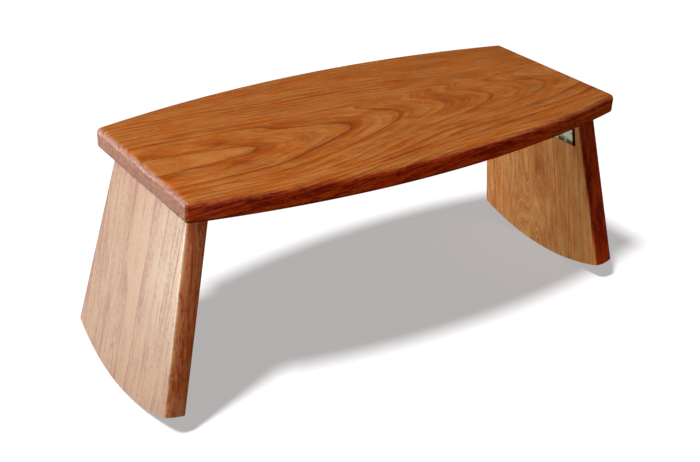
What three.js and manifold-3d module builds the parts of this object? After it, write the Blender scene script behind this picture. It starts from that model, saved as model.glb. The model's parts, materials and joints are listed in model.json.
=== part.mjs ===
// Folding kneeling bench: a bowed seat board on two splayed rocker legs.
// Each leg folds flat under the seat on a front and a back butt hinge.
// Millimetres, +Z up, X along the seat, -Y towards the front edge.
// The origin is on the floor, under the middle of the seat.

import * as THREE from 'three';
import { mergeVertices } from 'three/addons/utils/BufferGeometryUtils.js';
import Module from 'manifold-3d';

const wasm = await Module();
wasm.setup();

// Seat board
const SEAT_LENGTH = 457.2;
const SEAT_THICKNESS = 19.05;
const SEAT_END_WIDTH = 167;
const SEAT_MIDDLE_WIDTH = 223.5;
const SEAT_TOP_ROUND = 5.5;
const SEAT_BOTTOM_ROUND = 3.2;

// Leg boards: sizes in the plane of the board, measured down from the seat's underside
const LEG_THICKNESS = 19.05;
const LEG_SPLAY = THREE.MathUtils.degToRad(12.75);
const LEG_OUTER_FACE_X = 218.5; // where the outer face meets the seat's underside
const LEG_TOP_WIDTH = 142;
const LEG_FOOT_WIDTH = 184;
const LEG_CORNER_DEPTH = 169.5; // down to the front and back corners of the foot
const LEG_ROCKER_RISE = 20.5; // the foot's middle lies this much below its corners
const LEG_EDGE_ROUND = 6;

// Butt hinges
const LEAF_LENGTH = 50.8; // along the pin
const LEAF_REACH = 39.5; // from the pin's centre to the leaf's far edge
const LEAF_THICKNESS = 2;
const KNUCKLE_RADIUS = 4;
const KNUCKLE_COUNT = 5;
const PIN_RADIUS = 2;
const PIN_HOLE_RADIUS = 2.2;
const HINGE_CENTRE_Y = 32.7;

// Flat-head wood screws, three to a leaf
const SCREW_LENGTH = 15.9;
const SCREW_HEAD_RADIUS = 3.3;
const SCREW_SHANK_RADIUS = 1.75;
const SCREW_POINT_LENGTH = 3;
const SCREW_NEAR_ROW = 13; // distance of the two outer screws from the pin
const SCREW_FAR_ROW = 29; // distance of the middle screw from the pin
const SCREW_SPREAD = 17.5; // of the outer screws, from the leaf's middle

// Clearances
const GAP = 0.3; // between pieces that touch or nearly touch
const MORTISE_OUTER_SPACE = 3.9; // between a leaf's outer end and the end of its mortise
const HEAD_SINK = 0.1; // a screw head sits this far below the leaf's face

// Fineness of the round stretches
const BOW_STEPS = 22;
const ROUND_STEPS = 4;
const ROCKER_STEPS = 17; // odd, so that the foot's middle is a flat
const KNUCKLE_SIDES = 16;
const HOLE_SIDES = 12;

// Worked out from the sizes above
const FACE_OFFSET = KNUCKLE_RADIUS - LEAF_THICKNESS; // pin's centre to each board's face
const MORTISE_FLOOR = KNUCKLE_RADIUS + GAP; // pin's centre to each mortise's floor
const LEG_INNER_FACE_X = LEG_OUTER_FACE_X - LEG_THICKNESS / Math.cos(LEG_SPLAY);
const PIN_X = LEG_INNER_FACE_X
  - FACE_OFFSET * (1 - Math.sin(LEG_SPLAY)) / Math.cos(LEG_SPLAY);
// Height of the outer face's top edge along the leg, from the pin's centre
const LEG_TOP = FACE_OFFSET * Math.cos(LEG_SPLAY)
  - (LEG_OUTER_FACE_X - PIN_X) * Math.sin(LEG_SPLAY);
const ROCKER_RADIUS = ((LEG_FOOT_WIDTH / 2) ** 2 + LEG_ROCKER_RISE ** 2)
  / (2 * LEG_ROCKER_RISE);
const ROCKER_CENTRE = LEG_TOP - LEG_CORNER_DEPTH - LEG_ROCKER_RISE + ROCKER_RADIUS;
const CUT_MARGIN = 20; // the boards' cutters run this far past what they cut
const CUT_OVERSHOOT = 1; // and the hinges' cutters this far
const WELD_DISTANCE = 1e-4;

const FINISHES = {
  cherrySeat: { color: 0xb06a35, roughness: 0.38, metalness: 0 },
  cherryLeg: { color: 0xb98150, roughness: 0.42, metalness: 0 },
  steel: { color: 0x9a9c8c, roughness: 0.35, metalness: 1 },
  screwSteel: { color: 0xa5a595, roughness: 0.3, metalness: 1 },
};

// ---- Solids ----

function toSolid(geometry) {
  const bare = geometry.clone();
  bare.deleteAttribute('normal');
  bare.deleteAttribute('uv');
  const merged = mergeVertices(bare, WELD_DISTANCE);
  return new wasm.Manifold(new wasm.Mesh({
    numProp: 3,
    vertProperties: new Float32Array(merged.attributes.position.array),
    triVerts: new Uint32Array(merged.index.array),
  }));
}

function toGeometry(solid) {
  const mesh = solid.getMesh();
  const geometry = new THREE.BufferGeometry();
  geometry.setAttribute('position', new THREE.BufferAttribute(mesh.vertProperties, 3));
  geometry.setIndex(new THREE.BufferAttribute(mesh.triVerts, 1));
  return geometry;
}

function cutAway(geometry, cutters) {
  let solid = toSolid(geometry);
  for (const cutter of cutters) solid = solid.subtract(toSolid(cutter));
  return toGeometry(solid);
}

function joinAll(geometries) {
  let solid = toSolid(geometries[0]);
  for (const geometry of geometries.slice(1)) solid = solid.add(toSolid(geometry));
  return toGeometry(solid);
}

// A closed skin over a stack of convex rings with equal numbers of points, lowest ring first,
// each ring running anticlockwise seen from above.
function loft(rings) {
  const count = rings[0].length;
  const points = rings.flat();
  const faces = [];
  for (let level = 0; level < rings.length - 1; level++) {
    for (let i = 0; i < count; i++) {
      const next = (i + 1) % count;
      const a = level * count + i;
      const b = level * count + next;
      faces.push(a, b, b + count, a, b + count, a + count);
    }
  }
  const top = (rings.length - 1) * count;
  for (let i = 1; i < count - 1; i++) {
    faces.push(0, i + 1, i);
    faces.push(top, top + i, top + i + 1);
  }
  const geometry = new THREE.BufferGeometry().setFromPoints(points);
  geometry.setIndex(faces);
  return geometry;
}

function boxBetween(low, high) {
  const box = new THREE.BoxGeometry(high[0] - low[0], high[1] - low[1], high[2] - low[2]);
  return box.translate((low[0] + high[0]) / 2, (low[1] + high[1]) / 2, (low[2] + high[2]) / 2);
}

function finish(name) {
  return new THREE.MeshStandardMaterial(FINISHES[name]);
}

function piece(name, geometry, finishName) {
  const mesh = new THREE.Mesh(geometry, finish(finishName));
  mesh.name = name;
  return mesh;
}

// ---- Seat board: its underside is at z = 0 here ----

// The outline drawn in by inset, with both long edges bowed to one arc, front edge first
function seatRing(inset, z) {
  const rise = (SEAT_MIDDLE_WIDTH - SEAT_END_WIDTH) / 2;
  const bowRadius = ((SEAT_LENGTH / 2) ** 2 + rise ** 2) / (2 * rise);
  const centreY = SEAT_MIDDLE_WIDTH / 2 - bowRadius;
  const halfLength = SEAT_LENGTH / 2 - inset;
  const ring = [];
  for (const side of [-1, 1]) {
    for (let i = 0; i <= BOW_STEPS; i++) {
      const x = side * halfLength * (1 - 2 * i / BOW_STEPS);
      const y = centreY + Math.sqrt((bowRadius - inset) ** 2 - x ** 2);
      ring.push(new THREE.Vector3(x, side * y, z));
    }
  }
  return ring;
}

function seatBlank() {
  const rings = [];
  for (let i = 0; i <= ROUND_STEPS; i++) {
    const angle = Math.PI / 2 * i / ROUND_STEPS;
    const z = SEAT_BOTTOM_ROUND * (1 - Math.cos(angle));
    rings.push(seatRing(SEAT_BOTTOM_ROUND * (1 - Math.sin(angle)), z));
  }
  for (let i = 0; i <= ROUND_STEPS; i++) {
    const angle = Math.PI / 2 * i / ROUND_STEPS;
    const z = SEAT_THICKNESS - SEAT_TOP_ROUND * (1 - Math.sin(angle));
    rings.push(seatRing(SEAT_TOP_ROUND * (1 - Math.cos(angle)), z));
  }
  return loft(rings);
}

// ---- Leg board: the pin's centre line is the local Y axis, the board hangs down -Z,
// and its inner face, seen from under the bench, is at x = FACE_OFFSET ----

function legRing(halfWidth, z) {
  const ring = [];
  const inner = FACE_OFFSET + LEG_EDGE_ROUND;
  const outer = FACE_OFFSET + LEG_THICKNESS - LEG_EDGE_ROUND;
  const side = halfWidth - LEG_EDGE_ROUND;
  const corners = [[outer, side], [inner, side], [inner, -side], [outer, -side]];
  corners.forEach(([x, y], quarter) => {
    for (let i = 0; i <= ROUND_STEPS; i++) {
      const angle = Math.PI / 2 * (quarter + i / ROUND_STEPS);
      ring.push(new THREE.Vector3(
        x + LEG_EDGE_ROUND * Math.cos(angle), y + LEG_EDGE_ROUND * Math.sin(angle), z));
    }
  });
  return ring;
}

// A tapered blank that runs past the top cut and the foot
function legBlank() {
  const lean = (LEG_FOOT_WIDTH - LEG_TOP_WIDTH) / 2 / LEG_CORNER_DEPTH;
  const halfWidthAt = (z) => LEG_TOP_WIDTH / 2 + lean * (LEG_TOP - z);
  const bottom = LEG_TOP - LEG_CORNER_DEPTH - LEG_ROCKER_RISE - CUT_MARGIN;
  const top = LEG_TOP + CUT_MARGIN;
  return loft([legRing(halfWidthAt(bottom), bottom), legRing(halfWidthAt(top), top)]);
}

// What lies below the rocker foot: a slab with the foot's arc as its upper edge
function rockerCutter() {
  const halfWidth = LEG_FOOT_WIDTH / 2 + CUT_MARGIN;
  const halfAngle = Math.asin(halfWidth / ROCKER_RADIUS);
  const bottom = ROCKER_CENTRE - ROCKER_RADIUS - CUT_MARGIN * 2;
  const outline = new THREE.Shape();
  outline.moveTo(-halfWidth, bottom);
  outline.lineTo(halfWidth, bottom);
  for (let i = 0; i <= ROCKER_STEPS; i++) {
    const angle = halfAngle * (1 - 2 * i / ROCKER_STEPS);
    outline.lineTo(ROCKER_RADIUS * Math.sin(angle), ROCKER_CENTRE - ROCKER_RADIUS * Math.cos(angle));
  }
  outline.closePath();
  const depth = LEG_THICKNESS + CUT_MARGIN * 2;
  const slab = new THREE.ExtrudeGeometry(outline, { depth, bevelEnabled: false });
  const toBoard = new THREE.Matrix4().makeBasis(
    new THREE.Vector3(0, 1, 0), new THREE.Vector3(0, 0, 1), new THREE.Vector3(1, 0, 0));
  return slab.applyMatrix4(toBoard).translate(FACE_OFFSET - CUT_MARGIN, 0, 0);
}

// What lies above the leg's top, which is level so that it bears on the seat's underside
function topCutter() {
  const level = FACE_OFFSET - GAP;
  const reach = CUT_MARGIN * 3;
  const block = boxBetween([-reach, -LEG_TOP_WIDTH, level], [reach, LEG_TOP_WIDTH, reach]);
  return block.rotateY(LEG_SPLAY);
}

// ---- Hinge leaf: the pin's centre line is the local Y axis, the plate hangs down -Z,
// and its screws run along +X into the board behind it ----

function tubeAlongY(radius, length, sides) {
  return new THREE.CylinderGeometry(radius, radius, length, sides);
}

// firstSlot is 0 for the leaf with the end knuckles and 1 for the one between them
function leafGeometry(firstSlot) {
  const slot = LEAF_LENGTH / KNUCKLE_COUNT;
  const back = KNUCKLE_RADIUS;
  const face = KNUCKLE_RADIUS - LEAF_THICKNESS;
  const half = LEAF_LENGTH / 2;
  const plateTop = -KNUCKLE_RADIUS - 2 * GAP;
  const parts = [boxBetween([face, -half, -LEAF_REACH], [back, half, plateTop])];
  for (let i = firstSlot; i < KNUCKLE_COUNT; i += 2) {
    const low = i === 0 ? -half : -half + i * slot + GAP / 2;
    const high = i === KNUCKLE_COUNT - 1 ? half : -half + (i + 1) * slot - GAP / 2;
    parts.push(boxBetween([face, low, plateTop - CUT_OVERSHOOT], [back, high, 0]));
    const knuckle = tubeAlongY(KNUCKLE_RADIUS, high - low, KNUCKLE_SIDES);
    parts.push(knuckle.translate(0, (low + high) / 2, 0));
  }
  const bores = [tubeAlongY(PIN_HOLE_RADIUS, LEAF_LENGTH + CUT_MARGIN, HOLE_SIDES)];
  for (const [y, z] of screwPlaces()) bores.push(screwSeat().translate(face, y, z));
  return cutAway(joinAll(parts), bores);
}

function screwPlaces() {
  return [[-SCREW_SPREAD, -SCREW_NEAR_ROW], [0, -SCREW_FAR_ROW], [SCREW_SPREAD, -SCREW_NEAR_ROW]];
}

// A profile of [radius, distance along +X] pairs turned about the X axis
function turned(profile) {
  const points = profile.map(([radius, along]) => new THREE.Vector2(radius, -along));
  return new THREE.LatheGeometry(points.reverse(), HOLE_SIDES).rotateZ(Math.PI / 2);
}

// The countersunk hole through a leaf, from outside its face to behind its back
function screwSeat() {
  const clearance = GAP * Math.SQRT2;
  const mouth = SCREW_HEAD_RADIUS + clearance;
  const shank = SCREW_SHANK_RADIUS + GAP;
  const end = LEAF_THICKNESS + CUT_OVERSHOOT;
  return turned([
    [0, -CUT_OVERSHOOT],
    [mouth + CUT_OVERSHOOT, -CUT_OVERSHOOT],
    [shank, mouth - shank],
    [shank, end],
    [0, end],
  ]);
}

function screwGeometry() {
  const headDepth = SCREW_HEAD_RADIUS - SCREW_SHANK_RADIUS;
  return turned([
    [0, 0],
    [SCREW_HEAD_RADIUS, 0],
    [SCREW_SHANK_RADIUS, headDepth],
    [SCREW_SHANK_RADIUS, SCREW_LENGTH - SCREW_POINT_LENGTH],
    [0, SCREW_LENGTH],
  ]);
}

// The mortise and the three pilot holes that a leaf needs in its board, in the leaf's frame.
// outerEnd is -1 or 1: the end of the leaf that faces the board's nearer edge.
function mortiseCutters(outerEnd) {
  const half = LEAF_LENGTH / 2;
  const ends = [-half - GAP, half + GAP];
  ends[outerEnd < 0 ? 0 : 1] = outerEnd * (half + MORTISE_OUTER_SPACE);
  const pocket = boxBetween(
    [-CUT_OVERSHOOT, ends[0], -LEAF_REACH - GAP], [MORTISE_FLOOR, ends[1], MORTISE_FLOOR]);
  const radius = SCREW_SHANK_RADIUS + GAP;
  const mouth = MORTISE_FLOOR - CUT_OVERSHOOT;
  const tip = FACE_OFFSET + SCREW_LENGTH + 2 * GAP;
  const pilots = screwPlaces().map(([y, z]) => {
    const hole = turned([[0, mouth], [radius, mouth], [radius, tip - SCREW_POINT_LENGTH], [0, tip]]);
    return hole.translate(0, y, z);
  });
  return [pocket, ...pilots];
}

// ---- Assembly ----

const bench = new THREE.Group();
const screw = screwGeometry();

function leafWithScrews(leafName, screwName, firstSlot) {
  const group = new THREE.Group();
  group.add(piece(leafName, leafGeometry(firstSlot), 'steel'));
  screwPlaces().forEach(([y, z], i) => {
    const mesh = piece(`${screwName}_${i + 1}`, screw, 'screwSteel');
    mesh.position.set(FACE_OFFSET + HEAD_SINK, y, z);
    group.add(mesh);
  });
  return group;
}

const seatCutters = [];

// One end of the bench, built for the right end and turned half round for the left
function addEnd(side) {
  const end = new THREE.Group();
  end.rotation.z = side === 'left' ? Math.PI : 0;
  const leg = new THREE.Group();
  leg.position.set(PIN_X, 0, -FACE_OFFSET);
  leg.rotation.y = -LEG_SPLAY;
  end.add(leg);
  const legCutters = [rockerCutter(), topCutter()];
  for (const outerEnd of [-1, 1]) {
    const isFront = (outerEnd < 0) === (side === 'right');
    const place = `${side}_${isFront ? 'front' : 'back'}`;
    const y = outerEnd * HINGE_CENTRE_Y;

    const legLeaf = leafWithScrews(`${place}_hinge_leg_leaf`, `${place}_leg_screw`, 1);
    legLeaf.position.y = y;
    leg.add(legLeaf);
    for (const cutter of mortiseCutters(outerEnd)) legCutters.push(cutter.translate(0, y, 0));

    // Turned over, so that its plate runs inwards and its screws run up into the seat
    const seatLeaf = leafWithScrews(`${place}_hinge_seat_leaf`, `${place}_seat_screw`, 0);
    seatLeaf.rotation.set(0, Math.PI / 2, Math.PI);
    seatLeaf.position.set(PIN_X, y, -FACE_OFFSET);
    end.add(seatLeaf);
    end.updateMatrixWorld();
    for (const cutter of mortiseCutters(-outerEnd)) {
      seatCutters.push(cutter.applyMatrix4(seatLeaf.matrixWorld));
    }

    const rod = tubeAlongY(PIN_RADIUS, LEAF_LENGTH, HOLE_SIDES);
    const pin = piece(`${place}_hinge_pin`, rod, 'steel');
    pin.position.set(PIN_X, y, -FACE_OFFSET);
    end.add(pin);
  }
  leg.add(piece(`${side}_leg`, cutAway(legBlank(), legCutters), 'cherryLeg'));
  bench.add(end);
}

addEnd('left');
addEnd('right');
bench.add(piece('seat_board', cutAway(seatBlank(), seatCutters), 'cherrySeat'));

// Stand the feet on the floor
bench.updateMatrixWorld();
bench.position.z = -new THREE.Box3().setFromObject(bench, true).min.z;
bench.updateMatrixWorld();

export default bench;
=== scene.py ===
"""Folding kneeling bench: finished boards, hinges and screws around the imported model.

Metres, +Z up, X along the seat, -Y towards the front edge. The origin is on the floor, under the middle
of the seat.
"""

import json
import math

import bmesh
import bpy
from mathutils import Matrix, Vector


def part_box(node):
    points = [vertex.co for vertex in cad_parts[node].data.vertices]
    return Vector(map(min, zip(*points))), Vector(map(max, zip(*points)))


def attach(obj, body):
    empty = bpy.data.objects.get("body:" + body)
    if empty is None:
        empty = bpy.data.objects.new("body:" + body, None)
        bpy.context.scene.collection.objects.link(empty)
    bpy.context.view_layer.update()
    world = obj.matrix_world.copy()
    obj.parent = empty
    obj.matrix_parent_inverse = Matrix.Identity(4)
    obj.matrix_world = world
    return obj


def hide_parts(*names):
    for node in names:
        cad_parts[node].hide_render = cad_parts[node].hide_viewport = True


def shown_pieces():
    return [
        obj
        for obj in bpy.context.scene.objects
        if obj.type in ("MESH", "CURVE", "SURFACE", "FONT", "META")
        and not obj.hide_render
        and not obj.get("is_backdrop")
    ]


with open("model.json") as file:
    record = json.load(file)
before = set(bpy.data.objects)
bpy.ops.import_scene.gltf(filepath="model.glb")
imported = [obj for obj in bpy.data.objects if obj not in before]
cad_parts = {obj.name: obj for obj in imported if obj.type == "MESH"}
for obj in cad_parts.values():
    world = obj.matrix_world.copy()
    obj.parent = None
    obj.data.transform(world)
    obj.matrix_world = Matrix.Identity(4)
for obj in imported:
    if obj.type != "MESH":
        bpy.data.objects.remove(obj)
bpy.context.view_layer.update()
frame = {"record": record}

MM = 0.001
SIDES = ("left", "right")
ENDS = ("front", "back")

# Seat board: its length, middle width and thickness come from the frame
SEAT_END_WIDTH = 167 * MM
SEAT_TOP_ROUND = 5.5 * MM
SEAT_BOTTOM_ROUND = 3.4 * MM
SEAT_CORNER_ROUND = 3.5 * MM

# Leg boards, in the plane of the board
LEG_THICKNESS = 19.05 * MM
LEG_SPLAY = math.radians(12.75)
LEG_OUTER_FACE_X = 218.5 * MM
LEG_TOP_WIDTH = 142 * MM
LEG_FOOT_WIDTH = 184 * MM
LEG_CORNER_DEPTH = 169.5 * MM
LEG_ROCKER_RISE = 20.5 * MM
LEG_EDGE_ROUND = 7 * MM
LEG_FOOT_EASE = 1.5 * MM

# Butt hinges: the pin's place and length come from the frame
LEAF_REACH = 39.5 * MM
LEAF_THICKNESS = 2 * MM
LEAF_EASE = 0.18 * MM
KNUCKLE_RADIUS = 4 * MM
KNUCKLE_COUNT = 5
WEB_REACH = 6 * MM          # from the pin down to where a knuckle's web runs into the leaf
PIN_RADIUS = 2 * MM
PIN_HOLE_RADIUS = 2.2 * MM
PIN_CHAMFER = 0.5 * MM
PIN_END_RADIUS = 1.4 * MM

# Flat-head wood screws
SCREW_LENGTH = 15.9 * MM
SCREW_HEAD_RADIUS = 3.3 * MM
SCREW_RIM_WIDTH = 0.15 * MM
SCREW_RIM_DEPTH = 0.12 * MM
SCREW_SHANK_RADIUS = 1.75 * MM
SCREW_CORE_RADIUS = 1.25 * MM
SCREW_POINT_LENGTH = 3 * MM
SCREW_PLAIN_LENGTH = 5 * MM
SCREW_PITCH = 1.6 * MM
SCREW_CREST_SLOPE = 3.2     # of the thread's sides, in crest heights per turn
SCREW_NEAR_ROW = 13 * MM
SCREW_FAR_ROW = 29 * MM
SCREW_SPREAD = 17.5 * MM
RECESS_WIDTH = 0.75 * MM
RECESS_SPAN = 3.6 * MM
RECESS_DEPTH = 1.5 * MM
HEAD_SINK = 0.1 * MM

# Clearances
GAP = 0.3 * MM
MORTISE_OUTER_SPACE = 3.9 * MM
CUT_OVERSHOOT = 1 * MM      # cutting tools run this far past what they cut

# Fineness of the round stretches
BOW_STEPS = 64
ROUND_STEPS = 10
CORNER_STEPS = 6
FOOT_STEPS = 26
FOOT_PASSES = 5             # rounds of homing in on where the tapering edge meets the rocker's arc
BARREL_SIDES = 40
SCREW_SIDES = 24
THREAD_STEPS_PER_TURN = 6
SMOOTH_BELOW = math.radians(35)
FOOT_EASE_ABOVE = math.radians(60)
LEAF_EASE_ABOVE = math.radians(50)

# Camera, about the middle of the seat's top
CAMERA_AZIMUTH = math.radians(-35.558)
CAMERA_ELEVATION = math.radians(28.240)
CAMERA_ROLL = math.radians(2.345)
CAMERA_DISTANCE = 1005.47 * MM
CAMERA_RIGHT = -18.18 * MM
CAMERA_UP = -110.15 * MM
CAMERA_LENS = 57.071
CAMERA_SENSOR = 36

# Worked out from the sizes above and the frame
SEAT_LOW, SEAT_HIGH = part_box("seat_board")
PIN_LOW, PIN_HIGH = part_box("right_front_hinge_pin")
PIN_CENTRE = (PIN_LOW + PIN_HIGH) / 2
LEAF_LENGTH = PIN_HIGH.y - PIN_LOW.y
HINGE_CENTRE_Y = -PIN_CENTRE.y
FACE_OFFSET = KNUCKLE_RADIUS - LEAF_THICKNESS
MORTISE_FLOOR = KNUCKLE_RADIUS + GAP
LEG_TOP = FACE_OFFSET * math.cos(LEG_SPLAY) - (LEG_OUTER_FACE_X - PIN_CENTRE.x) * math.sin(LEG_SPLAY)
ROCKER_RADIUS = ((LEG_FOOT_WIDTH / 2) ** 2 + LEG_ROCKER_RISE ** 2) / (2 * LEG_ROCKER_RISE)
ROCKER_CENTRE = LEG_TOP - LEG_CORNER_DEPTH - LEG_ROCKER_RISE + ROCKER_RADIUS
BENCH_MIDDLE = Vector((0, 0, SEAT_LOW.z / 2))
BODY_OF = {node: body for body, nodes in frame["record"]["behaviour"]["bodies"].items() for node in nodes}


# ---- Shader formulas ----

class Value:
    """A number in a shader tree. Adding or multiplying two of them makes the node that does so."""

    def __init__(self, tree, socket):
        self.tree = tree
        self.socket = socket

    def math(self, operation, *others):
        node = self.tree.nodes.new("ShaderNodeMath")
        node.operation = operation
        for slot, term in zip(node.inputs, (self, *others)):
            feed(self.tree, slot, term)
        return Value(self.tree, node.outputs[0])

    def __add__(self, other):
        return self.math("ADD", other)

    def __radd__(self, other):
        return self.math("ADD", other)

    def __sub__(self, other):
        return self.math("SUBTRACT", other)

    def __rsub__(self, other):
        return (self * -1).math("ADD", other)

    def __mul__(self, other):
        return self.math("MULTIPLY", other)

    def __rmul__(self, other):
        return self.math("MULTIPLY", other)

    def __truediv__(self, other):
        return self.math("DIVIDE", other)

    def __neg__(self):
        return self * -1

    def power(self, exponent):
        return self.math("POWER", exponent)

    def size(self):
        return self.math("ABSOLUTE")

    def root(self):
        return self.math("SQRT")

    def limited(self):
        return self.math("MAXIMUM", 0).math("MINIMUM", 1)

    def bell(self, centre, width):
        """1 at centre, falling off on both sides over about width."""
        t = (self - centre) / width
        return (t * t * -1).math("EXPONENT")

    def above(self, edge, width):
        """0 well below edge, then rising as steeply as the number itself, round over about width."""
        t = self - edge
        return (t + (t * t + width * width).root()) * 0.5

    def step(self, low, high):
        """0 below low, 1 above high, smooth between."""
        node = self.tree.nodes.new("ShaderNodeMapRange")
        node.interpolation_type = "SMOOTHSTEP"
        feed(self.tree, node.inputs["Value"], self)
        node.inputs["From Min"].default_value = low
        node.inputs["From Max"].default_value = high
        return Value(self.tree, node.outputs["Result"])


def feed(tree, slot, term):
    """Sets an input from a number, a colour, or another node's output."""
    if isinstance(term, Value):
        tree.links.new(term.socket, slot)
    elif isinstance(term, (int, float)):
        slot.default_value = term
    else:
        slot.default_value = (*term, 1)


def vector(x, y, z):
    node = x.tree.nodes.new("ShaderNodeCombineXYZ")
    for slot, term in zip(node.inputs, (x, y, z)):
        feed(x.tree, slot, term)
    return Value(x.tree, node.outputs[0])


def split(whole):
    node = whole.tree.nodes.new("ShaderNodeSeparateXYZ")
    feed(whole.tree, node.inputs[0], whole)
    return [Value(whole.tree, socket) for socket in node.outputs]


def noise(place, detail=2.0, roughness=0.5):
    """Smooth noise about 0.5, with features about one unit across."""
    node = place.tree.nodes.new("ShaderNodeTexNoise")
    feed(place.tree, node.inputs["Vector"], place)
    node.inputs["Scale"].default_value = 1
    node.inputs["Detail"].default_value = detail
    node.inputs["Roughness"].default_value = roughness
    return Value(place.tree, node.outputs["Fac"])


def by_ring(number, pace, start):
    """A value from 0 to 1 that changes only at whole numbers."""
    return (number.math("FLOOR") * pace + start).math("SINE") * 0.5 + 0.5


def blend(share, first, second):
    """A colour that goes from first to second as share goes from 0 to 1."""
    node = share.tree.nodes.new("ShaderNodeMixRGB")
    feed(share.tree, node.inputs["Fac"], share)
    feed(share.tree, node.inputs["Color1"], first)
    feed(share.tree, node.inputs["Color2"], second)
    return Value(share.tree, node.outputs[0])


def tinted(colour, share, tint):
    """The colour multiplied by tint as far as share says."""
    node = colour.tree.nodes.new("ShaderNodeMixRGB")
    node.blend_type = "MULTIPLY"
    feed(colour.tree, node.inputs["Fac"], share)
    feed(colour.tree, node.inputs["Color1"], colour)
    feed(colour.tree, node.inputs["Color2"], tint)
    return Value(colour.tree, node.outputs[0])


def new_material(name):
    """A material with only its surface shader, and the place on the object in millimetres."""
    material = bpy.data.materials.new(name)
    material.use_nodes = True
    tree = material.node_tree
    shader = tree.nodes["Principled BSDF"]
    coordinates = tree.nodes.new("ShaderNodeTexCoord")
    place = [axis * (1 / MM) for axis in split(Value(tree, coordinates.outputs["Object"]))]
    normal = split(Value(tree, coordinates.outputs["Normal"]))
    return material, tree, shader, place, normal


def add_bump(tree, shader, height, depth):
    node = tree.nodes.new("ShaderNodeBump")
    node.inputs["Distance"].default_value = depth
    feed(tree, node.inputs["Height"], height)
    tree.links.new(node.outputs["Normal"], shader.inputs["Normal"])


# ---- Cherry wood: lengths in these formulas are millimetres ----

RING_DEPTH = 4.6        # one year's growth
FINISH_IOR = 1.8
WOOD_RELIEF = 0.06 * MM
STEEL_RELIEF = 0.02 * MM

# Pale wood, warm wood and the dark of the late wood
SEAT_COLOURS = ((0.490, 0.175, 0.034), (0.475, 0.100, 0.001), (0.185, 0.028, 0.001))
LEFT_COLOURS = ((0.65, 0.348, 0.150), (0.59, 0.258, 0.112), (0.42, 0.120, 0.020))
RIGHT_COLOURS = ((0.57, 0.275, 0.095), (0.47, 0.150, 0.034), (0.21, 0.048, 0.010))

PIN_KNOT_COLOUR = (0.66, 0.47, 0.30)
# Pale cream of sapwood, also used for a painted sheen
SAPWOOD_AND_SHEEN_COLOUR = (0.78, 0.57, 0.29)

# The long edges are tinted darker and redder, the front ones most: painted shade
BACK_EDGE_SHADE_SHARE = 0.55
SEAT_EDGE_SHADE = (0.80, 0.24, 0.10)
LEFT_EDGE_SHADE = (0.94, 0.55, 0.42)
RIGHT_EDGE_SHADE = (0.69, 0.155, 0.035)


def seat_rings(along, across, depth):
    """Number of growth rings out from the pith, which lies above the seat board.

    The arches open to the left, and a second, shallower valley runs beside them towards the back.
    """
    middle = -20 + 3.5 * (along / 42 + 0.9).math("SINE")
    rise = 1.62 + along / 52 + 0.0084 * (-along).above(32, 12) - 0.0048 * along.above(124, 12)
    rise = rise + 0.0075 * (-along).above(130, 20)
    pith = 84 + 0.06 * along
    sideways = across - middle
    out = (sideways * sideways + (pith + depth) * (pith + depth)).root() - pith
    valley = (3.7 + 0.0155 * along) * across.bell(17, 9)
    spread = 0.0013 * along.above(20, 40) * across.above(24, 10)
    uneven = 1.2 * (across / 6.3 + along / 90).math("SINE") * sideways.size().step(32, 58)
    calm = 1.1 * sideways.size().step(14, 44) * (-along).step(0, 170)
    return rise - calm + (out - valley + spread + uneven) / RING_DEPTH


def left_leg_rings(along, across, depth):
    """The left leg's pith is far inside its inner face, so its lines run nearly straight."""
    sideways = across - 3
    pith = 122
    out = (sideways * sideways + (pith + depth) * (pith + depth)).root() - pith - LEG_THICKNESS / MM
    kink = 1.3 * across.step(-1, 9) * along.step(45, 125)
    tip = -2.0 * across.bell(20, 5) * along.step(140, 182)
    return 0.75 + (out + kink + tip) / RING_DEPTH


def left_leg_sapwood_and_sheen(along, across):
    """Paler at the left leg's upper front, partly paler wood and partly a painted sheen, and sapwood in two
    stripes towards its back edge.
    """
    front = (-across).step(-15, 50) * (1 - along.step(60, 175))
    return 0.9 * front + 0.5 * across.bell(46, 2.5) + 0.6 * across.bell(58, 3.5)


def right_leg_rings(along, across, depth):
    """A pin knot near the right foot lifts the rings into small nested arches."""
    sideways = across - 1
    pith = 110
    out = (sideways * sideways + (pith + depth) * (pith + depth)).root() - pith
    knot = -13 * across.bell(3, 7) * along.bell(192, 46)
    drift = 4.4 * across.bell(12, 10) * (1 - along.step(80, 200))
    spread = -6 * across.bell(45, 30) * along.step(95, 200)
    return 4.1 + (out + knot + drift + spread) / RING_DEPTH


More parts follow.
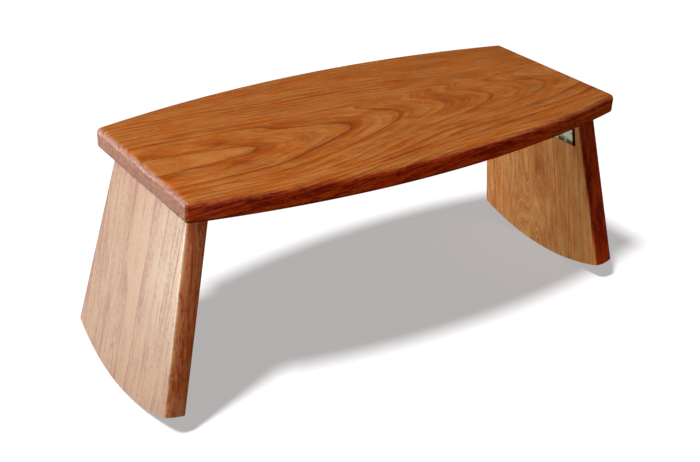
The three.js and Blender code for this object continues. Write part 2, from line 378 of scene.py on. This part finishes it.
def cherry(name, rings, place, colours, edge_shade_tint, end_axis, tone=0.0, end_tone=0.3, round_tone=0.22,
           edge_shade_from=0.74, edge_shade_to=0.93, edge_shade_fade=0.0, figure=1.0, band=1.0, line_width=1.0,
           stretch=1.0, patches=1.0, grit=1.0, sapwood_and_sheen=None, pin_knot=None):
    """Finished cherry. Rings counts growth rings at (along, across, depth), which place gets from a point.

    tone, end_tone, round_tone: how much darker the whole board, its end grain and its round-overs are
    edge_shade_from, edge_shade_to: how squarely a face looks to the front or back where its painted edge
    shade starts and is full
    edge_shade_fade: how much of that painted edge shade is gone at the board's far end
    figure: how strongly the rings show
    band, line_width: how strong the shade beside each ring's line is, and how wide the line
    stretch: how long the streaks run
    patches: how much the colour changes from place to place
    grit: how strong the finest marks are
    sapwood_and_sheen: says where along and across the board the wood is paler, as sapwood and as painted
    sheen
    pin_knot: where along and across the board a pin knot lies
    """
    material, tree, shader, point, normal = new_material(name)
    along, across, depth = place(*point)

    def grain(length, width, detail=2.0, roughness=0.5):
        """Noise about 0 that runs along the board."""
        return noise(vector(along / length, across / width, depth / width), detail, roughness) - 0.5

    def contour(fineness, length, detail=2.0, roughness=0.5):
        """Noise about 0 that follows the rings."""
        return noise(vector(count * fineness, along / length, depth / length), detail, roughness) - 0.5

    # Each ring: a thin line, then the late wood's shade, which fades into the early wood
    count = rings(along, across, depth) + 0.12 * grain(110, 26) + 0.07 * grain(24, 4, 3, 0.6)
    part = count.math("FRACT")
    away = count.math("PINGPONG", 0.5) / (line_width * (0.03 + 0.06 * (across.size() / 80).limited()))
    strength = (0.55 + 0.6 * by_ring(count + 0.5, 1.9, -0.5)) * (0.8 + 2.4 * grain(45, 11)).limited()
    line = (-1 * away * away).math("EXPONENT") * strength
    late = (part * -3.5).math("EXPONENT") * (0.2 + 0.8 * by_ring(count, 1.1, 0.4)) * band
    early = part.power(3)

    # Marks, from the broadest to the finest
    broad = contour(3, 60, 3, 0.6)
    streak = contour(9, 24 * stretch, 3, 0.6)
    fine = contour(24, 10 * stretch, 2, 0.6)
    dash = grain(14 * stretch, 1.3, 3, 0.6)
    mottle = grain(4, 3, 4, 0.65)
    fibre = grain(7, 0.4, 4, 0.7)
    pore = (grain(2.0, 0.16) + 0.5).step(0.66, 0.80)
    texture = figure * (patches * (0.8 * grain(60, 16) + 1.1 * broad) + 0.8 * streak + 0.5 * fine)
    texture = texture + grit * (0.7 * dash + 0.3 * fibre + 0.7 * mottle)

    # Round-overs, which are worn in places, end grain, and the painted shade of the long edges
    flat = normal[0].size().math("MAXIMUM", normal[1].size()).math("MAXIMUM", normal[2].size())
    rounded = (1 - flat).step(0.02, 0.25)
    wear = rounded * (grain(9, 9, 3, 0.6) + 0.5).step(0.5, 0.7)
    end_grain = normal[end_axis].size().step(0.35, 0.70)
    # Painted shade on the long edges: strongest on the front ones, fading towards the board's far end
    edge = (-normal[1]).step(edge_shade_from, edge_shade_to) + BACK_EDGE_SHADE_SHARE * normal[1].step(edge_shade_from, edge_shade_to)
    edge = edge * (1 - edge_shade_fade * along.step(90, 200))

    dark = 0.21 + tone + figure * (0.46 * line + 0.40 * late - 0.10 * early) + texture
    dark = dark + (end_tone + 2.0 * mottle) * end_grain + round_tone * rounded + 0.05 * pore - 0.15 * wear
    dark = dark + edge * (3.0 / grit * texture + 2.2 * grain(30, 6) + 1.6 * grain(18, 1.6, 3, 0.6))
    warm = 0.8 * late - 0.3 * early + patches * (3.0 * grain(42, 14, 3, 0.6) + 2.0 * broad) + 0.8 * streak
    warm = 0.40 + figure * warm + 0.7 * mottle + 0.6 * dash
    pale = blend(warm.limited(), colours[0], colours[1])
    # Paler sapwood, and on the left leg's upper front a painted sheen
    if sapwood_and_sheen:
        share = sapwood_and_sheen(along, across) * (1 - edge) * (0.6 + 2.5 * streak + 2 * dash).limited()
        pale = blend(share, pale, SAPWOOD_AND_SHEEN_COLOUR)
    colour = tinted(blend(dark.limited(), pale, colours[2]), edge, edge_shade_tint)
    if pin_knot:
        down, aside = along - pin_knot[0], across - pin_knot[1]
        from_knot = (down * down + aside * aside).root() + 3 * mottle
        colour = blend(from_knot.bell(2.6, 0.9) * 0.5, colour, colours[2])
        colour = blend(from_knot.bell(0, 1.5), colour, PIN_KNOT_COLOUR)
    tree.links.new(colour.socket, shader.inputs["Base Color"])

    rough = 0.34 + 0.10 * fibre + 0.12 * end_grain - 0.06 * wear + 0.25 * mottle
    rough = rough + 0.50 * grain(40, 3, 3, 0.6)
    tree.links.new(rough.socket, shader.inputs["Roughness"])
    shader.inputs["IOR"].default_value = FINISH_IOR
    ripple = 1.8 * grain(22 * stretch, 5, 3, 0.6)
    add_bump(tree, shader, 0.5 * fibre - 0.15 * pore - 0.25 * line + 0.3 * dash + ripple, WOOD_RELIEF)
    return material


def seat_place(x, y, z):
    """Along the seat, across it, and down from its top."""
    return x, y, SEAT_HIGH.z / MM - z


def leg_place(side):
    """Down the leg from the seat's underside, across it, and out from its inner face."""
    turn = 1 if side == "right" else -1

    def place(x, y, z):
        out = x * turn - PIN_CENTRE.x / MM
        up = z - PIN_CENTRE.z / MM
        down = out * math.sin(LEG_SPLAY) - up * math.cos(LEG_SPLAY) + LEG_TOP / MM
        depth = out * math.cos(LEG_SPLAY) + up * math.sin(LEG_SPLAY) - FACE_OFFSET / MM
        return down, y, depth

    return place


# ---- Metals ----

def leaf_end_painted_shade(x, y, z):
    """Painted shade on the leg leaves: darker spots along their free ends."""
    below_pin = PIN_CENTRE.z / MM - z
    return below_pin.step(31, 36) * noise(vector(y / 8, x / 40, z / 40), 2).step(0.40, 0.52)


def steel(name, light, dull, rough, grain_axis, painted_shade=None):
    """Plated steel gone dull, with brushed scratches, dark tarnish, and painted shade where a mask for it is
    given.
    """
    material, tree, shader, point, _ = new_material(name)
    brushed = [axis / (9 if i == grain_axis else 0.12) for i, axis in enumerate(point)]
    scratch = noise(vector(*brushed), 3, 0.6)
    cloud = noise(vector(point[0] / 9, point[1] / 9, point[2] / 9), 4, 0.6)
    speck = noise(vector(point[0] / 1.3, point[1] / 1.3, point[2] / 1.3), 3, 0.6).step(0.58, 0.75)
    stain_and_shade = cloud.step(0.50, 0.72) + 0.5 * speck
    # Painted shade, where a mask for it is given
    if painted_shade:
        stain_and_shade = stain_and_shade + painted_shade(*point)
    stain_and_shade = stain_and_shade.limited()
    colour = blend((stain_and_shade + 0.25 * (scratch - 0.5)).limited(), light, dull)
    tree.links.new(colour.socket, shader.inputs["Base Color"])
    tree.links.new((rough + 0.2 * stain_and_shade + 0.12 * (scratch - 0.5)).socket, shader.inputs["Roughness"])
    shader.inputs["Metallic"].default_value = 1
    add_bump(tree, shader, scratch + 0.6 * speck, STEEL_RELIEF)
    return material


# ---- Meshes ----

def mesh_object(name, points, faces):
    mesh = bpy.data.meshes.new(name)
    mesh.from_pydata(points, [], faces)
    piece = bpy.data.objects.new(name, mesh)
    bpy.context.scene.collection.objects.link(piece)
    return piece


def tidy_mesh(piece, merge=1e-6):
    """Merges points that fell together and turns every face outwards."""
    shape = bmesh.new()
    shape.from_mesh(piece.data)
    bmesh.ops.remove_doubles(shape, verts=shape.verts, dist=merge)
    bmesh.ops.dissolve_degenerate(shape, edges=shape.edges, dist=merge)
    bmesh.ops.recalc_face_normals(shape, faces=shape.faces)
    shape.to_mesh(piece.data)
    shape.free()
    return piece


def loft(name, rings):
    """A closed skin over a stack of rings with equal numbers of points."""
    count = len(rings[0])
    points = [point for ring in rings for point in ring]
    faces = []
    for level in range(len(rings) - 1):
        low = level * count
        for i in range(count):
            j = (i + 1) % count
            faces.append((low + i, low + j, low + count + j, low + count + i))
    faces.append(tuple(reversed(range(count))))
    faces.append(tuple(range(len(points) - count, len(points))))
    return tidy_mesh(mesh_object(name, points, faces))


def block(name, low, high):
    """A box between two corners."""
    corners = [(x, y, z) for z in (low[2], high[2]) for x, y in
               ((low[0], low[1]), (high[0], low[1]), (high[0], high[1]), (low[0], high[1]))]
    return loft(name, [corners[:4], corners[4:]])


def turned(name, profile, sides):
    """A solid turned about +X from (distance along X, radius) pairs, which start and end on the axis."""
    rings = []
    for along, radius in profile:
        ring = []
        for i in range(sides):
            angle = 2 * math.pi * i / sides
            ring.append((along, radius * math.cos(angle), radius * math.sin(angle)))
        rings.append(ring)
    return loft(name, rings)


def applied(piece):
    """Works the modifiers into the mesh."""
    graph = bpy.context.evaluated_depsgraph_get()
    mesh = bpy.data.meshes.new_from_object(piece.evaluated_get(graph), depsgraph=graph)
    piece.modifiers.clear()
    piece.data = mesh
    return piece


def combine(piece, others, operation):
    """Cuts the other solids out of piece or joins them to it, and removes them."""
    for other in others:
        modifier = piece.modifiers.new(other.name, "BOOLEAN")
        modifier.operation = operation
        modifier.solver = "MANIFOLD"
        modifier.material_mode = "TRANSFER"
        modifier.object = other
        applied(piece)
        bpy.data.objects.remove(other)
    return piece


def moved(piece, matrix):
    piece.data.transform(matrix)
    return piece


def eased(piece, width, segments, angle):
    """Rounds the sharp edges a little."""
    modifier = piece.modifiers.new("ease", "BEVEL")
    modifier.width = width
    modifier.segments = segments
    modifier.limit_method = "ANGLE"
    modifier.angle_limit = angle
    return applied(piece)


def finished(piece, node, material):
    """Gives a piece its shading and finish, and stands it in for its CAD node."""
    mesh = piece.data
    if not any(mesh.materials):
        mesh.materials.clear()
        mesh.materials.append(material)
    for face in mesh.polygons:
        face.use_smooth = True
    mesh.set_sharp_from_angle(angle=SMOOTH_BELOW)
    weighted = piece.modifiers.new("weighted normals", "WEIGHTED_NORMAL")
    weighted.keep_sharp = True
    applied(piece)
    piece.name = f"{node}_finished"
    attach(piece, BODY_OF[node])
    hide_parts(node)
    return piece


# ---- Boards ----

def seat_ring(inset, z):
    """The seat's outline drawn in by inset: two bowed long edges and two straight ends."""
    half_length = SEAT_HIGH.x - inset
    rise = SEAT_HIGH.y - SEAT_END_WIDTH / 2
    bow_radius = (SEAT_HIGH.x ** 2 + rise ** 2) / (2 * rise)
    bow_centre = SEAT_HIGH.y - bow_radius
    corner = max(SEAT_CORNER_ROUND - inset, 0)
    corner_x = half_length - corner
    corner_y = bow_centre + math.sqrt((bow_radius - inset - corner) ** 2 - corner_x ** 2)
    lean = math.asin(corner_x / (bow_radius - inset - corner))
    quarter = []
    for i in range(CORNER_STEPS + 1):
        angle = (math.pi / 2 - lean) * i / CORNER_STEPS
        quarter.append((corner_x + corner * math.cos(angle), corner_y + corner * math.sin(angle)))
    for i in range(1, BOW_STEPS // 2 + 1):
        angle = lean * (1 - i / (BOW_STEPS // 2))
        reach = bow_radius - inset
        quarter.append((reach * math.sin(angle), bow_centre + reach * math.cos(angle)))
    back = quarter + [(-x, y) for x, y in reversed(quarter[:-1])]
    return [(x, y, z) for x, y in back] + [(-x, -y, z) for x, y in back]


def seat_blank():
    rings = []
    for i in range(ROUND_STEPS + 1):
        angle = math.pi / 2 * i / ROUND_STEPS
        z = SEAT_LOW.z + SEAT_BOTTOM_ROUND * (1 - math.cos(angle))
        rings.append(seat_ring(SEAT_BOTTOM_ROUND * (1 - math.sin(angle)), z))
    for i in range(ROUND_STEPS + 1):
        angle = math.pi / 2 * i / ROUND_STEPS
        z = SEAT_HIGH.z - SEAT_TOP_ROUND * (1 - math.sin(angle))
        rings.append(seat_ring(SEAT_TOP_ROUND * (1 - math.cos(angle)), z))
    return loft("seat", rings)


def leg_half_width(z):
    lean = (LEG_FOOT_WIDTH - LEG_TOP_WIDTH) / 2 / LEG_CORNER_DEPTH
    return LEG_TOP_WIDTH / 2 + lean * (LEG_TOP - z)


def leg_stations():
    """Across the board from edge to edge: (side, distance in from the edge, rounding of the faces).

    Side is -1 or 1 on the rounded edges. Between them it is the share of the flat's half width.
    """
    edge = []
    for i in range(ROUND_STEPS + 1):
        angle = math.pi / 2 * (1 - i / ROUND_STEPS)
        edge.append((LEG_EDGE_ROUND * (1 - math.sin(angle)), LEG_EDGE_ROUND * (1 - math.cos(angle))))
    flat = [(2 * i / FOOT_STEPS - 1, LEG_EDGE_ROUND, 0) for i in range(1, FOOT_STEPS)]
    return [(-1, *e) for e in edge] + flat + [(1, *e) for e in reversed(edge)]


def leg_point(share, inward, x, z):
    """The point of a leg's surface at local height z."""
    flat = leg_half_width(z) - LEG_EDGE_ROUND
    return (x, share * flat + (LEG_EDGE_ROUND - inward) * (share if abs(share) == 1 else 0), z)


def leg_blank():
    """The pin's centre line is the local Y axis, and the board hangs down -Z behind x = FACE_OFFSET."""
    points = []
    level = FACE_OFFSET - GAP
    for share, inward, rounding in leg_stations():
        for x in (FACE_OFFSET + rounding, FACE_OFFSET + LEG_THICKNESS - rounding):
            top = (level - x * math.sin(LEG_SPLAY)) / math.cos(LEG_SPLAY)
            foot = LEG_TOP - LEG_CORNER_DEPTH
            for _ in range(FOOT_PASSES):
                y = leg_point(share, inward, x, foot)[1]
                foot = ROCKER_CENTRE - math.sqrt(ROCKER_RADIUS ** 2 - y ** 2)
            points.append(leg_point(share, inward, x, top))
            points.append(leg_point(share, inward, x, foot))
    faces = []
    last = len(points) - 4
    for a in range(0, last, 4):
        b = a + 4
        faces += [(a, a + 1, b + 1, b), (a + 2, b + 2, b + 3, a + 3),
                  (a + 1, a + 3, b + 3, b + 1), (a, b, b + 2, a + 2)]
    faces += [(0, 2, 3, 1), (last, last + 1, last + 3, last + 2)]
    return eased(tidy_mesh(mesh_object("leg", points, faces)), LEG_FOOT_EASE, 3, FOOT_EASE_ABOVE)


# ---- Hinges ----

def screw_places():
    return [(-SCREW_SPREAD, -SCREW_NEAR_ROW), (0, -SCREW_FAR_ROW), (SCREW_SPREAD, -SCREW_NEAR_ROW)]


def barrel(name, radius, low, high):
    """A round bar along Y."""
    bar = turned(name, [(low, 0), (low, radius), (high, radius), (high, 0)], BARREL_SIDES)
    return moved(bar, Matrix.Rotation(math.pi / 2, 4, "Z"))


def leaf_shape(first_slot):
    """A hinge leaf in its own frame: the plate hangs down -Z from the pin, its face at x = FACE_OFFSET.

    First slot is 0 for the leaf with the end knuckles and 1 for the one between them.
    """
    half = LEAF_LENGTH / 2
    slot = LEAF_LENGTH / KNUCKLE_COUNT
    top = -KNUCKLE_RADIUS - 2 * GAP
    plate = block("leaf", (FACE_OFFSET, -half, -LEAF_REACH), (KNUCKLE_RADIUS, half, top))
    for i in range(first_slot, KNUCKLE_COUNT, 2):
        low = -half + i * slot + (GAP / 2 if i > 0 else 0)
        high = -half + (i + 1) * slot - (GAP / 2 if i < KNUCKLE_COUNT - 1 else 0)
        web = block("web", (FACE_OFFSET, low, -WEB_REACH), (KNUCKLE_RADIUS, high, 0))
        combine(plate, [web, barrel("knuckle", KNUCKLE_RADIUS, low, high)], "UNION")
    beyond = 1.2 * half
    cuts = [barrel("bore", PIN_HOLE_RADIUS, -beyond, beyond)]
    for y, z in screw_places():
        mouth = SCREW_HEAD_RADIUS + GAP * math.sqrt(2)
        shank = SCREW_SHANK_RADIUS + GAP
        past = LEAF_THICKNESS + CUT_OVERSHOOT
        hole = turned("hole", [(-CUT_OVERSHOOT, 0), (-CUT_OVERSHOOT, mouth + CUT_OVERSHOOT),
                               (mouth - shank, shank), (past, shank), (past, 0)], BARREL_SIDES)
        cuts.append(moved(hole, Matrix.Translation((FACE_OFFSET, y, z))))
    return eased(combine(plate, cuts, "DIFFERENCE"), LEAF_EASE, 2, LEAF_EASE_ABOVE)


def pin_shape():
    """A rod along X with chamfered ends."""
    end = LEAF_LENGTH / 2
    full = end - PIN_CHAMFER
    return turned("pin", [(-end, 0), (-end, PIN_END_RADIUS), (-full, PIN_RADIUS), (full, PIN_RADIUS),
                          (end, PIN_END_RADIUS), (end, 0)], BARREL_SIDES)


def thread_radius(distance, angle):
    """Radius of the screw's threaded stretch at a distance from its head and an angle round it."""
    turn = (distance / SCREW_PITCH - angle / (2 * math.pi)) % 1
    crest = max(0, 1 - abs(turn - 0.5) * SCREW_CREST_SLOPE)
    taper = min(1, (SCREW_LENGTH - distance) / SCREW_POINT_LENGTH)
    return taper * (SCREW_CORE_RADIUS + (SCREW_SHANK_RADIUS - SCREW_CORE_RADIUS) * crest)


def screw_shape():
    """A countersunk wood screw along +X, its head's face at x = 0, with a cross recess and a cut thread."""
    head_depth = SCREW_HEAD_RADIUS - SCREW_SHANK_RADIUS
    radii = [(0, lambda a: 0), (0, lambda a: SCREW_HEAD_RADIUS - SCREW_RIM_WIDTH),
             (SCREW_RIM_DEPTH, lambda a: SCREW_HEAD_RADIUS), (head_depth, lambda a: SCREW_SHANK_RADIUS),
             (SCREW_PLAIN_LENGTH, lambda a: SCREW_SHANK_RADIUS)]
    steps = round((SCREW_LENGTH - SCREW_PLAIN_LENGTH) / SCREW_PITCH * THREAD_STEPS_PER_TURN)
    for i in range(1, steps):
        distance = SCREW_PLAIN_LENGTH + (SCREW_LENGTH - SCREW_PLAIN_LENGTH) * i / steps
        radii.append((distance, lambda a, d=distance: thread_radius(d, a)))
    radii.append((SCREW_LENGTH, lambda a: 0))
    rings = []
    for along, radius in radii:
        ring = []
        for i in range(SCREW_SIDES):
            angle = 2 * math.pi * i / SCREW_SIDES
            ring.append((along, radius(angle) * math.cos(angle), radius(angle) * math.sin(angle)))
        rings.append(ring)
    screw = loft("screw", rings)
    arms = []
    for turn in (0, math.pi / 2):
        half, wide = RECESS_SPAN / 2, RECESS_WIDTH / 2
        corners = ((-1, -1), (1, -1), (1, 1), (-1, 1))
        mouth = [(-CUT_OVERSHOOT, half * i, wide * j) for i, j in corners]
        tip = [(RECESS_DEPTH, wide * i, wide / 2 * j) for i, j in corners]
        arm = loft("recess", [mouth, tip])
        arms.append(moved(arm, Matrix.Rotation(turn, 4, "X")))
    return combine(screw, arms, "DIFFERENCE")


def mortise_cutters(outer_end):
    """The mortise and pilot holes that a leaf needs in its board, in the leaf's frame.

    Outer end is -1 or 1: the end of the leaf that faces the board's nearer edge.
    """
    half = LEAF_LENGTH / 2
    ends = [-half - GAP, half + GAP]
    ends[0 if outer_end < 0 else 1] = outer_end * (half + MORTISE_OUTER_SPACE)
    low = (-KNUCKLE_RADIUS - CUT_OVERSHOOT, ends[0], -LEAF_REACH - GAP)
    cutters = [block("mortise", low, (MORTISE_FLOOR, ends[1], MORTISE_FLOOR))]
    hole_radius = SCREW_SHANK_RADIUS + GAP
    mouth = MORTISE_FLOOR - CUT_OVERSHOOT
    tip = FACE_OFFSET + SCREW_LENGTH + 2 * GAP
    for y, z in screw_places():
        hole = turned("pilot", [(mouth, 0), (mouth, hole_radius), (tip - SCREW_POINT_LENGTH, hole_radius),
                                (tip, 0)], SCREW_SIDES)
        cutters.append(moved(hole, Matrix.Translation((0, y, z))))
    return cutters


def screw_turn(number, y):
    """No two neighbouring screws stopped with their recesses at the same angle."""
    return Matrix.Rotation(0.7 * number + 1.9 * y / SCREW_SPREAD, 4, "X")


def copy_of(shape, name, matrix):
    piece = bpy.data.objects.new(name, shape.data.copy())
    bpy.context.scene.collection.objects.link(piece)
    return moved(piece, matrix)


# ---- The bench ----

cherry_seat = cherry("cherry_seat", seat_rings, seat_place, SEAT_COLOURS, SEAT_EDGE_SHADE, 0, edge_shade_fade=0.20,
                     patches=0.85)
cherry_left = cherry("cherry_left_leg", left_leg_rings, leg_place("left"), LEFT_COLOURS, LEFT_EDGE_SHADE, 2,
                     end_tone=0.6, round_tone=0.1, edge_shade_from=0.2, edge_shade_to=0.8, edge_shade_fade=0.25, figure=2.3,
                     band=0.12, line_width=0.85, stretch=2.5, patches=0.55, grit=3.6,
                     sapwood_and_sheen=left_leg_sapwood_and_sheen)
cherry_right = cherry("cherry_right_leg", right_leg_rings, leg_place("right"), RIGHT_COLOURS, RIGHT_EDGE_SHADE, 2,
                      end_tone=0.6, round_tone=0, edge_shade_from=0, edge_shade_to=0.5, figure=0.75, band=0.35,
                      line_width=0.7, stretch=2.5, pin_knot=(181, 4))
# Wood inside the mortises, darker: partly unfinished wood, partly painted shade in the recesses
cherry_cut = cherry("cherry_cut", seat_rings, seat_place, SEAT_COLOURS, SEAT_EDGE_SHADE, 0, tone=0.45)
hinge_steel = steel("hinge_steel", (0.56, 0.57, 0.39), (0.12, 0.10, 0.05), 0.45, 1, leaf_end_painted_shade)
pin_steel = steel("pin_steel", (0.45, 0.45, 0.40), (0.15, 0.13, 0.09), 0.35, 1)
screw_steel = steel("screw_steel", (0.50, 0.49, 0.43), (0.16, 0.14, 0.09), 0.33, 0)

leaf_shapes = {"leg": leaf_shape(1), "seat": leaf_shape(0)}
screw = screw_shape()
seat = seat_blank()
seat.data.materials.append(cherry_seat)

for side in SIDES:
    end = Matrix.Rotation(math.pi if side == "left" else 0, 4, "Z")
    pin_place = end @ Matrix.Translation((PIN_CENTRE.x, 0, PIN_CENTRE.z))
    leg_frame = pin_place @ Matrix.Rotation(-LEG_SPLAY, 4, "Y")
    leg_wood = cherry_left if side == "left" else cherry_right
    leg = moved(leg_blank(), leg_frame)
    leg.data.materials.append(leg_wood)
    for end_name in ENDS:
        outer_end = -1 if (end_name == "front") == (side == "right") else 1
        slide = Matrix.Translation((0, outer_end * HINGE_CENTRE_Y, 0))
        over = Matrix.Rotation(math.pi / 2, 4, "Y") @ Matrix.Rotation(math.pi, 4, "Z")
        leaf_frames = {"leg": leg_frame @ slide, "seat": pin_place @ slide @ over}
        boards = {"leg": (leg, outer_end), "seat": (seat, -outer_end)}
        for board_name, leaf_frame in leaf_frames.items():
            board, board_end = boards[board_name]
            cutters = [moved(cutter, leaf_frame) for cutter in mortise_cutters(board_end)]
            for cutter in cutters:
                cutter.data.materials.append(cherry_cut)
            combine(board, cutters, "DIFFERENCE")
            node = f"{side}_{end_name}_hinge_{board_name}_leaf"
            finished(copy_of(leaf_shapes[board_name], node, leaf_frame), node, hinge_steel)
            for number, (y, z) in enumerate(screw_places(), start=1):
                node = f"{side}_{end_name}_{board_name}_screw_{number}"
                place = leaf_frame @ Matrix.Translation((FACE_OFFSET + HEAD_SINK, y, z))
                place = place @ screw_turn(number, y)
                finished(copy_of(screw, node, place), node, screw_steel)
        node = f"{side}_{end_name}_hinge_pin"
        pin = moved(pin_shape(), pin_place @ slide @ Matrix.Rotation(math.pi / 2, 4, "Z"))
        finished(pin, node, pin_steel)
    finished(leg, f"{side}_leg", leg_wood)
finished(seat, "seat_board", cherry_seat)

for spare in (*leaf_shapes.values(), screw):
    bpy.data.objects.remove(spare)


# ---- Stage, light and camera ----

FLOOR_HALF = 6.0
FLOOR_COLOUR = (0.22, 0.22, 0.22)
FLOOR_GLOW = (0.440, 0.424, 0.425)
ROOM_LIGHT = 0.04
KEY_FROM = (-120, -30, 208)
KEY_ANGLE = math.radians(8)

# One high key light, as two suns from the same place: the pieces lit, and how strongly.
# The left leg has no key light. It is lit from the side instead.
KEYS = {
    "key": ("key_lit", 2.2),
    "floor_key": ("floor", 10.5),
}

# Soft lights: the pieces lit, the way to the light from the middle of the bench in metres, its size and
# power, and whether the finish shows it as a sheen
SOFT_LIGHTS = {
    "window": ("seat", (-1.00, 0.95, 0.40), 1.2, 11.5, True),
    "right_window": ("right_leg", (-1.08, 0.98, 0.30), 1.1, 9.5, True),
    "low_card": ("seat", (-1.50, 1.80, -0.62), 2.0, 15.5, True),
    "left_window": ("left_leg", (-1.25, 0.76, -0.12), 0.55, 7, True),
    "left_card": ("left_leg", (-1.50, 1.80, -0.62), 2.0, 11.5, True),
    "left_side": ("left_leg", (-0.75, -0.12, 0.62), 0.5, 3.6, True),
    "top_card": ("seat", (-0.55, -0.15, 0.75), 0.4, 2.8, False),
    "low_back": ("right_leg", (0, 0.36, -0.07), 0.2, 2.5, False),
    "steel_card": ("steel", (-1.50, 1.80, -0.62), 2.0, 27, True),
    "front_fill": ("bench", (-0.75, -2.30, 0.10), 1.5, 14, False),
    "right_fill": ("bench", (2.10, -1.00, 0.90), 1.5, 14, False),
}


def add_floor():
    """A pale floor, clear from below, with some glow of its own so that shadows on it stay light.

    It throws no light on the bench.
    """
    corners = [(-FLOOR_HALF, -FLOOR_HALF, 0), (FLOOR_HALF, -FLOOR_HALF, 0),
               (FLOOR_HALF, FLOOR_HALF, 0), (-FLOOR_HALF, FLOOR_HALF, 0)]
    floor = mesh_object("floor", corners, [(0, 1, 2, 3)])
    material = bpy.data.materials.new("floor")
    material.use_nodes = True
    tree = material.node_tree
    shader = tree.nodes["Principled BSDF"]
    shader.inputs["Base Color"].default_value = (*FLOOR_COLOUR, 1)
    shader.inputs["Specular IOR Level"].default_value = 0
    shader.inputs["Roughness"].default_value = 1
    shader.inputs["Emission Color"].default_value = (*FLOOR_GLOW, 1)
    shader.inputs["Emission Strength"].default_value = 1
    see_through = tree.nodes.new("ShaderNodeBsdfTransparent")
    geometry = tree.nodes.new("ShaderNodeNewGeometry")
    sides = tree.nodes.new("ShaderNodeMixShader")
    tree.links.new(geometry.outputs["Backfacing"], sides.inputs["Fac"])
    tree.links.new(shader.outputs[0], sides.inputs[1])
    tree.links.new(see_through.outputs[0], sides.inputs[2])
    tree.links.new(sides.outputs[0], tree.nodes["Material Output"].inputs["Surface"])
    floor.data.materials.append(material)
    floor.visible_diffuse = False
    floor.visible_glossy = False
    floor.visible_shadow = False
    floor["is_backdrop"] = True
    return floor


def add_room():
    """A dim room, dark below, and plain white where the camera sees past the floor."""
    world = bpy.data.worlds.new("room")
    bpy.context.scene.world = world
    world.use_nodes = True
    tree = world.node_tree
    room = tree.nodes["Background"]
    coordinates = tree.nodes.new("ShaderNodeTexCoord")
    height = split(Value(tree, coordinates.outputs["Generated"]))[2]
    tree.links.new((height.step(-0.3, 0.1) * ROOM_LIGHT).socket, room.inputs["Strength"])
    room.inputs["Color"].default_value = (1, 1, 1, 1)
    white = tree.nodes.new("ShaderNodeBackground")
    white.inputs["Color"].default_value = (1, 1, 1, 1)
    rays = tree.nodes.new("ShaderNodeLightPath")
    choose = tree.nodes.new("ShaderNodeMixShader")
    tree.links.new(rays.outputs["Is Camera Ray"], choose.inputs["Fac"])
    tree.links.new(room.outputs[0], choose.inputs[1])
    tree.links.new(white.outputs[0], choose.inputs[2])
    tree.links.new(choose.outputs[0], tree.nodes["World Output"].inputs["Surface"])


def add_light(name, kind, offset, energy):
    data = bpy.data.lights.new(name, kind)
    data.energy = energy
    light = bpy.data.objects.new(name, data)
    bpy.context.scene.collection.objects.link(light)
    light.location = BENCH_MIDDLE + offset
    light.rotation_euler = offset.to_track_quat("Z", "Y").to_euler()
    return light


def gathered(name, words):
    """A collection of the finished pieces with one of the words in their names."""
    group = bpy.data.collections.new(name)
    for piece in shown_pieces():
        if any(word in piece.name for word in words):
            group.objects.link(piece)
    return group


def add_lights(floor):
    groups = {
        "floor": gathered("floor_only", ()),
        "bench": gathered("bench", ("",)),
        "key_lit": gathered("key_lit", ("board", "hinge", "screw", "right_leg_finished")),
        "steel": gathered("steel", ("hinge", "screw")),
        "seat": gathered("seat_only", ("board",)),
        "left_leg": gathered("left_leg_only", ("left_leg_finished",)),
        "right_leg": gathered("right_leg_only", ("right_leg_finished",)),
    }
    groups["floor"].objects.link(floor)
    for name, (lit, strength) in KEYS.items():
        key = add_light(name, "SUN", Vector(KEY_FROM).normalized(), strength)
        key.data.angle = KEY_ANGLE
        key.light_linking.receiver_collection = groups[lit]
    for name, (lit, offset, size, power, sheen) in SOFT_LIGHTS.items():
        light = add_light(name, "AREA", Vector(offset), power)
        light.data.size = size
        light.visible_glossy = sheen
        light.light_linking.receiver_collection = groups[lit]


def add_camera():
    """Looks at a point beside the middle of the seat's top, a little rolled."""
    a, e = CAMERA_AZIMUTH, CAMERA_ELEVATION
    back = Vector((math.sin(a) * math.cos(e), -math.cos(a) * math.cos(e), math.sin(e)))
    level = Vector((math.cos(a), math.sin(a), 0))
    plumb = back.cross(level)
    right = math.cos(CAMERA_ROLL) * level + math.sin(CAMERA_ROLL) * plumb
    up = -math.sin(CAMERA_ROLL) * level + math.cos(CAMERA_ROLL) * plumb
    data = bpy.data.cameras.new("camera")
    data.lens = CAMERA_LENS
    data.sensor_width = CAMERA_SENSOR
    camera = bpy.data.objects.new("camera", data)
    bpy.context.scene.collection.objects.link(camera)
    middle = Vector((0, 0, SEAT_HIGH.z))
    place = middle + CAMERA_RIGHT * right + CAMERA_UP * up + CAMERA_DISTANCE * back
    turn = Matrix((right, up, back)).transposed().to_4x4()
    camera.matrix_world = Matrix.Translation(place) @ turn
    bpy.context.scene.camera = camera


add_room()
add_lights(add_floor())
add_camera()
bpy.context.scene.view_settings.view_transform = "Standard"
